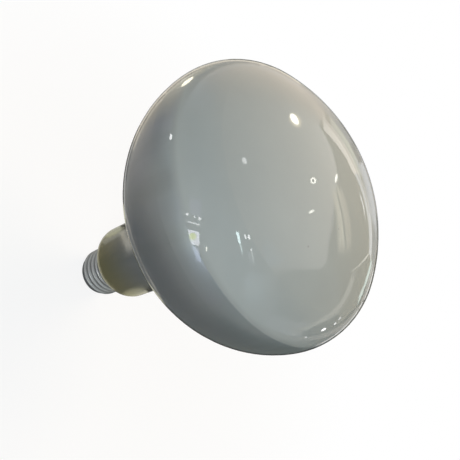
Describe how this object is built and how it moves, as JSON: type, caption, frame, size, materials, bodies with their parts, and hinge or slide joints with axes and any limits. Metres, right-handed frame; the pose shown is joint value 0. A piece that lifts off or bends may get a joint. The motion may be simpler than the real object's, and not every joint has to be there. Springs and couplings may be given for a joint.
{
  "type": "infrared heat lamp bulb",
  "caption": "Mushroom-shaped reflector heat lamp bulb with a frosted domed face, a mirrored glass back and neck, and a threaded screw cap.",
  "frame": {"origin": "end of the centre contact, on the lamp's axis", "axes": "+Z along the lamp's axis from the screw cap to the crown of the face; +Y towards the solder drop on the cap's collar"},
  "size_m": [0.125, 0.125, 0.17],
  "materials": {
    "coated_glass": "gloss",
    "cap_metal": "satin",
    "black_glass": "gloss",
    "contact_brass": "satin",
    "solder": "satin",
    "cement": "matte"
  },
  "bodies": {
    "root": {"glass_bulb": "coated_glass", "screw_shell": "cap_metal", "cap_insulator": "black_glass", "centre_contact": "contact_brass", "contact_solder": "solder", "side_solder": "solder", "basing_cement": "cement"}
  },
  "joints": []
}
